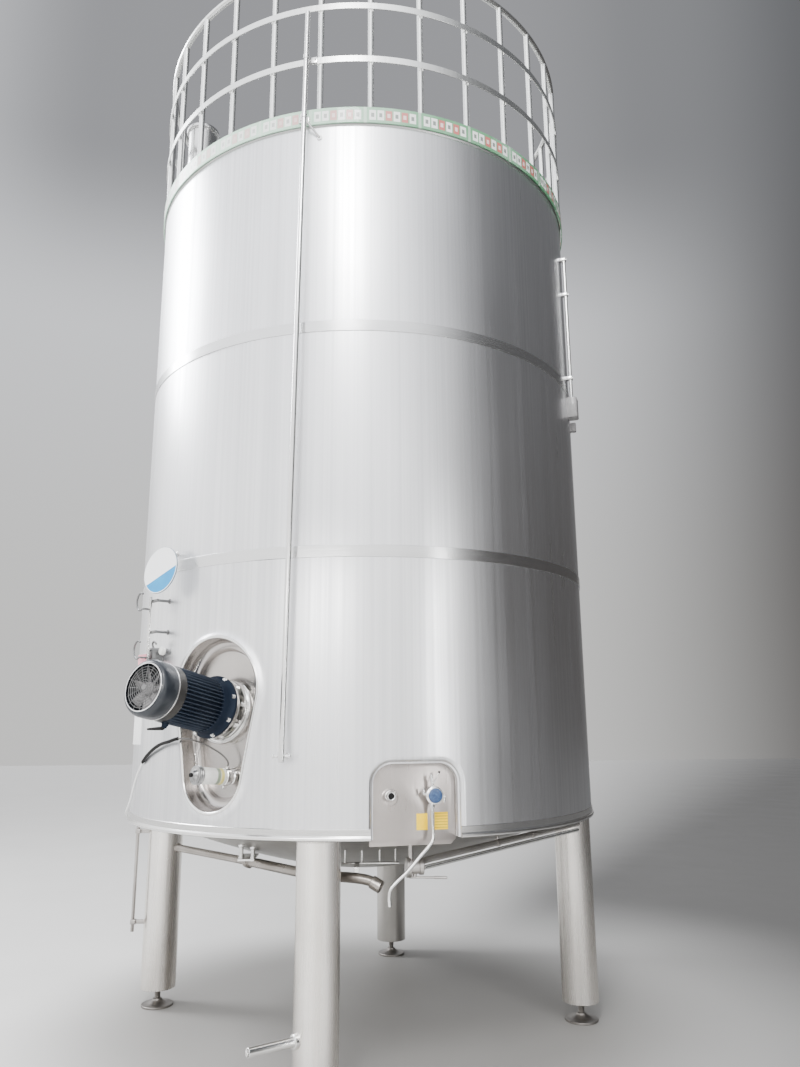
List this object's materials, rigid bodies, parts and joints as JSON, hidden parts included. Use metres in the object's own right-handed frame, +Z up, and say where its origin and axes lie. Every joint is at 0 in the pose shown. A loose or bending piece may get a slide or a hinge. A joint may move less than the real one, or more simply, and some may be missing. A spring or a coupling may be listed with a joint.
{
  "type": "vertical storage tank",
  "caption": "Insulated stainless storage tank on legs, with a railed roof, a side agitator in an egg-shaped recess and a small service panel.",
  "frame": {"origin": "on the floor that its feet stand on, under the middle of the box that holds the tank without its signal cable; the tank's axis stands at x 0.0127, y 0.108", "axes": "+Z up along the tank, -Y towards the front that the picture shows, +X to the right seen from the front"},
  "size_m": [2.7618, 2.9493, 5.9022],
  "materials": {
    "satin_steel": "satin, vertical grain",
    "bright_steel": "bright",
    "dark_steel": "dull, stained",
    "foot_steel": "dull",
    "pale_paint": "satin",
    "motor_paint": "semi-gloss",
    "fan_cover_paint": "semi-gloss",
    "white_plastic": "matt",
    "black_sheath": "matt"
  },
  "bodies": {
    "root": {"lower_wall_front_right": "satin_steel", "lower_wall_rear_right": "satin_steel", "lower_wall_rear_left": "satin_steel", "lower_wall_front_left": "satin_steel", "middle_wall_front_right": "satin_steel", "middle_wall_rear_right": "satin_steel", "middle_wall_rear_left": "satin_steel", "middle_wall_front_left": "satin_steel", "upper_wall_front_right": "satin_steel", "upper_wall_rear_right": "satin_steel", "upper_wall_rear_left": "satin_steel", "upper_wall_front_left": "satin_steel", "lower_band": "satin_steel", "upper_band": "satin_steel", "rim_band": "bright_steel", "bottom_dish": "satin_steel", "roof": "satin_steel", "manway_neck": "satin_steel", "manway_lid": "satin_steel", "vent_neck": "bright_steel", "railing_panel_1": "pale_paint", "railing_panel_2": "pale_paint", "railing_panel_3": "pale_paint", "railing_panel_4": "pale_paint", "railing_panel_5": "pale_paint", "railing_panel_6": "pale_paint", "leg_front": "satin_steel", "leg_right": "satin_steel", "leg_rear": "satin_steel", "leg_left": "satin_steel", "foot_front": "foot_steel", "foot_right": "foot_steel", "foot_rear": "foot_steel", "foot_left": "foot_steel", "leg_stub_tube": "bright_steel", "alcove_liner": "satin_steel", "agitator_mount": "bright_steel", "agitator_motor": "motor_paint", "fan_cover": "fan_cover_paint", "level_transmitter": "pale_paint", "signal_cable": "black_sheath", "leg_conduit": "dark_steel", "round_sign": "white_plastic", "hook_bar": "bright_steel", "hanging_tag": "white_plastic", "wall_valve": "dark_steel", "riser_pipe": "bright_steel", "service_panel": "satin_steel", "panel_port": "satin_steel", "sample_valve": "bright_steel", "outlet_tube": "bright_steel", "drain_pipe": "dark_steel", "drain_hanger": "bright_steel", "valve_bracket": "bright_steel", "service_pipe": "dark_steel", "bright_pipe": "bright_steel", "wall_conduit": "bright_steel", "junction_box": "white_plastic", "small_box": "white_plastic"}
  },
  "joints": []
}
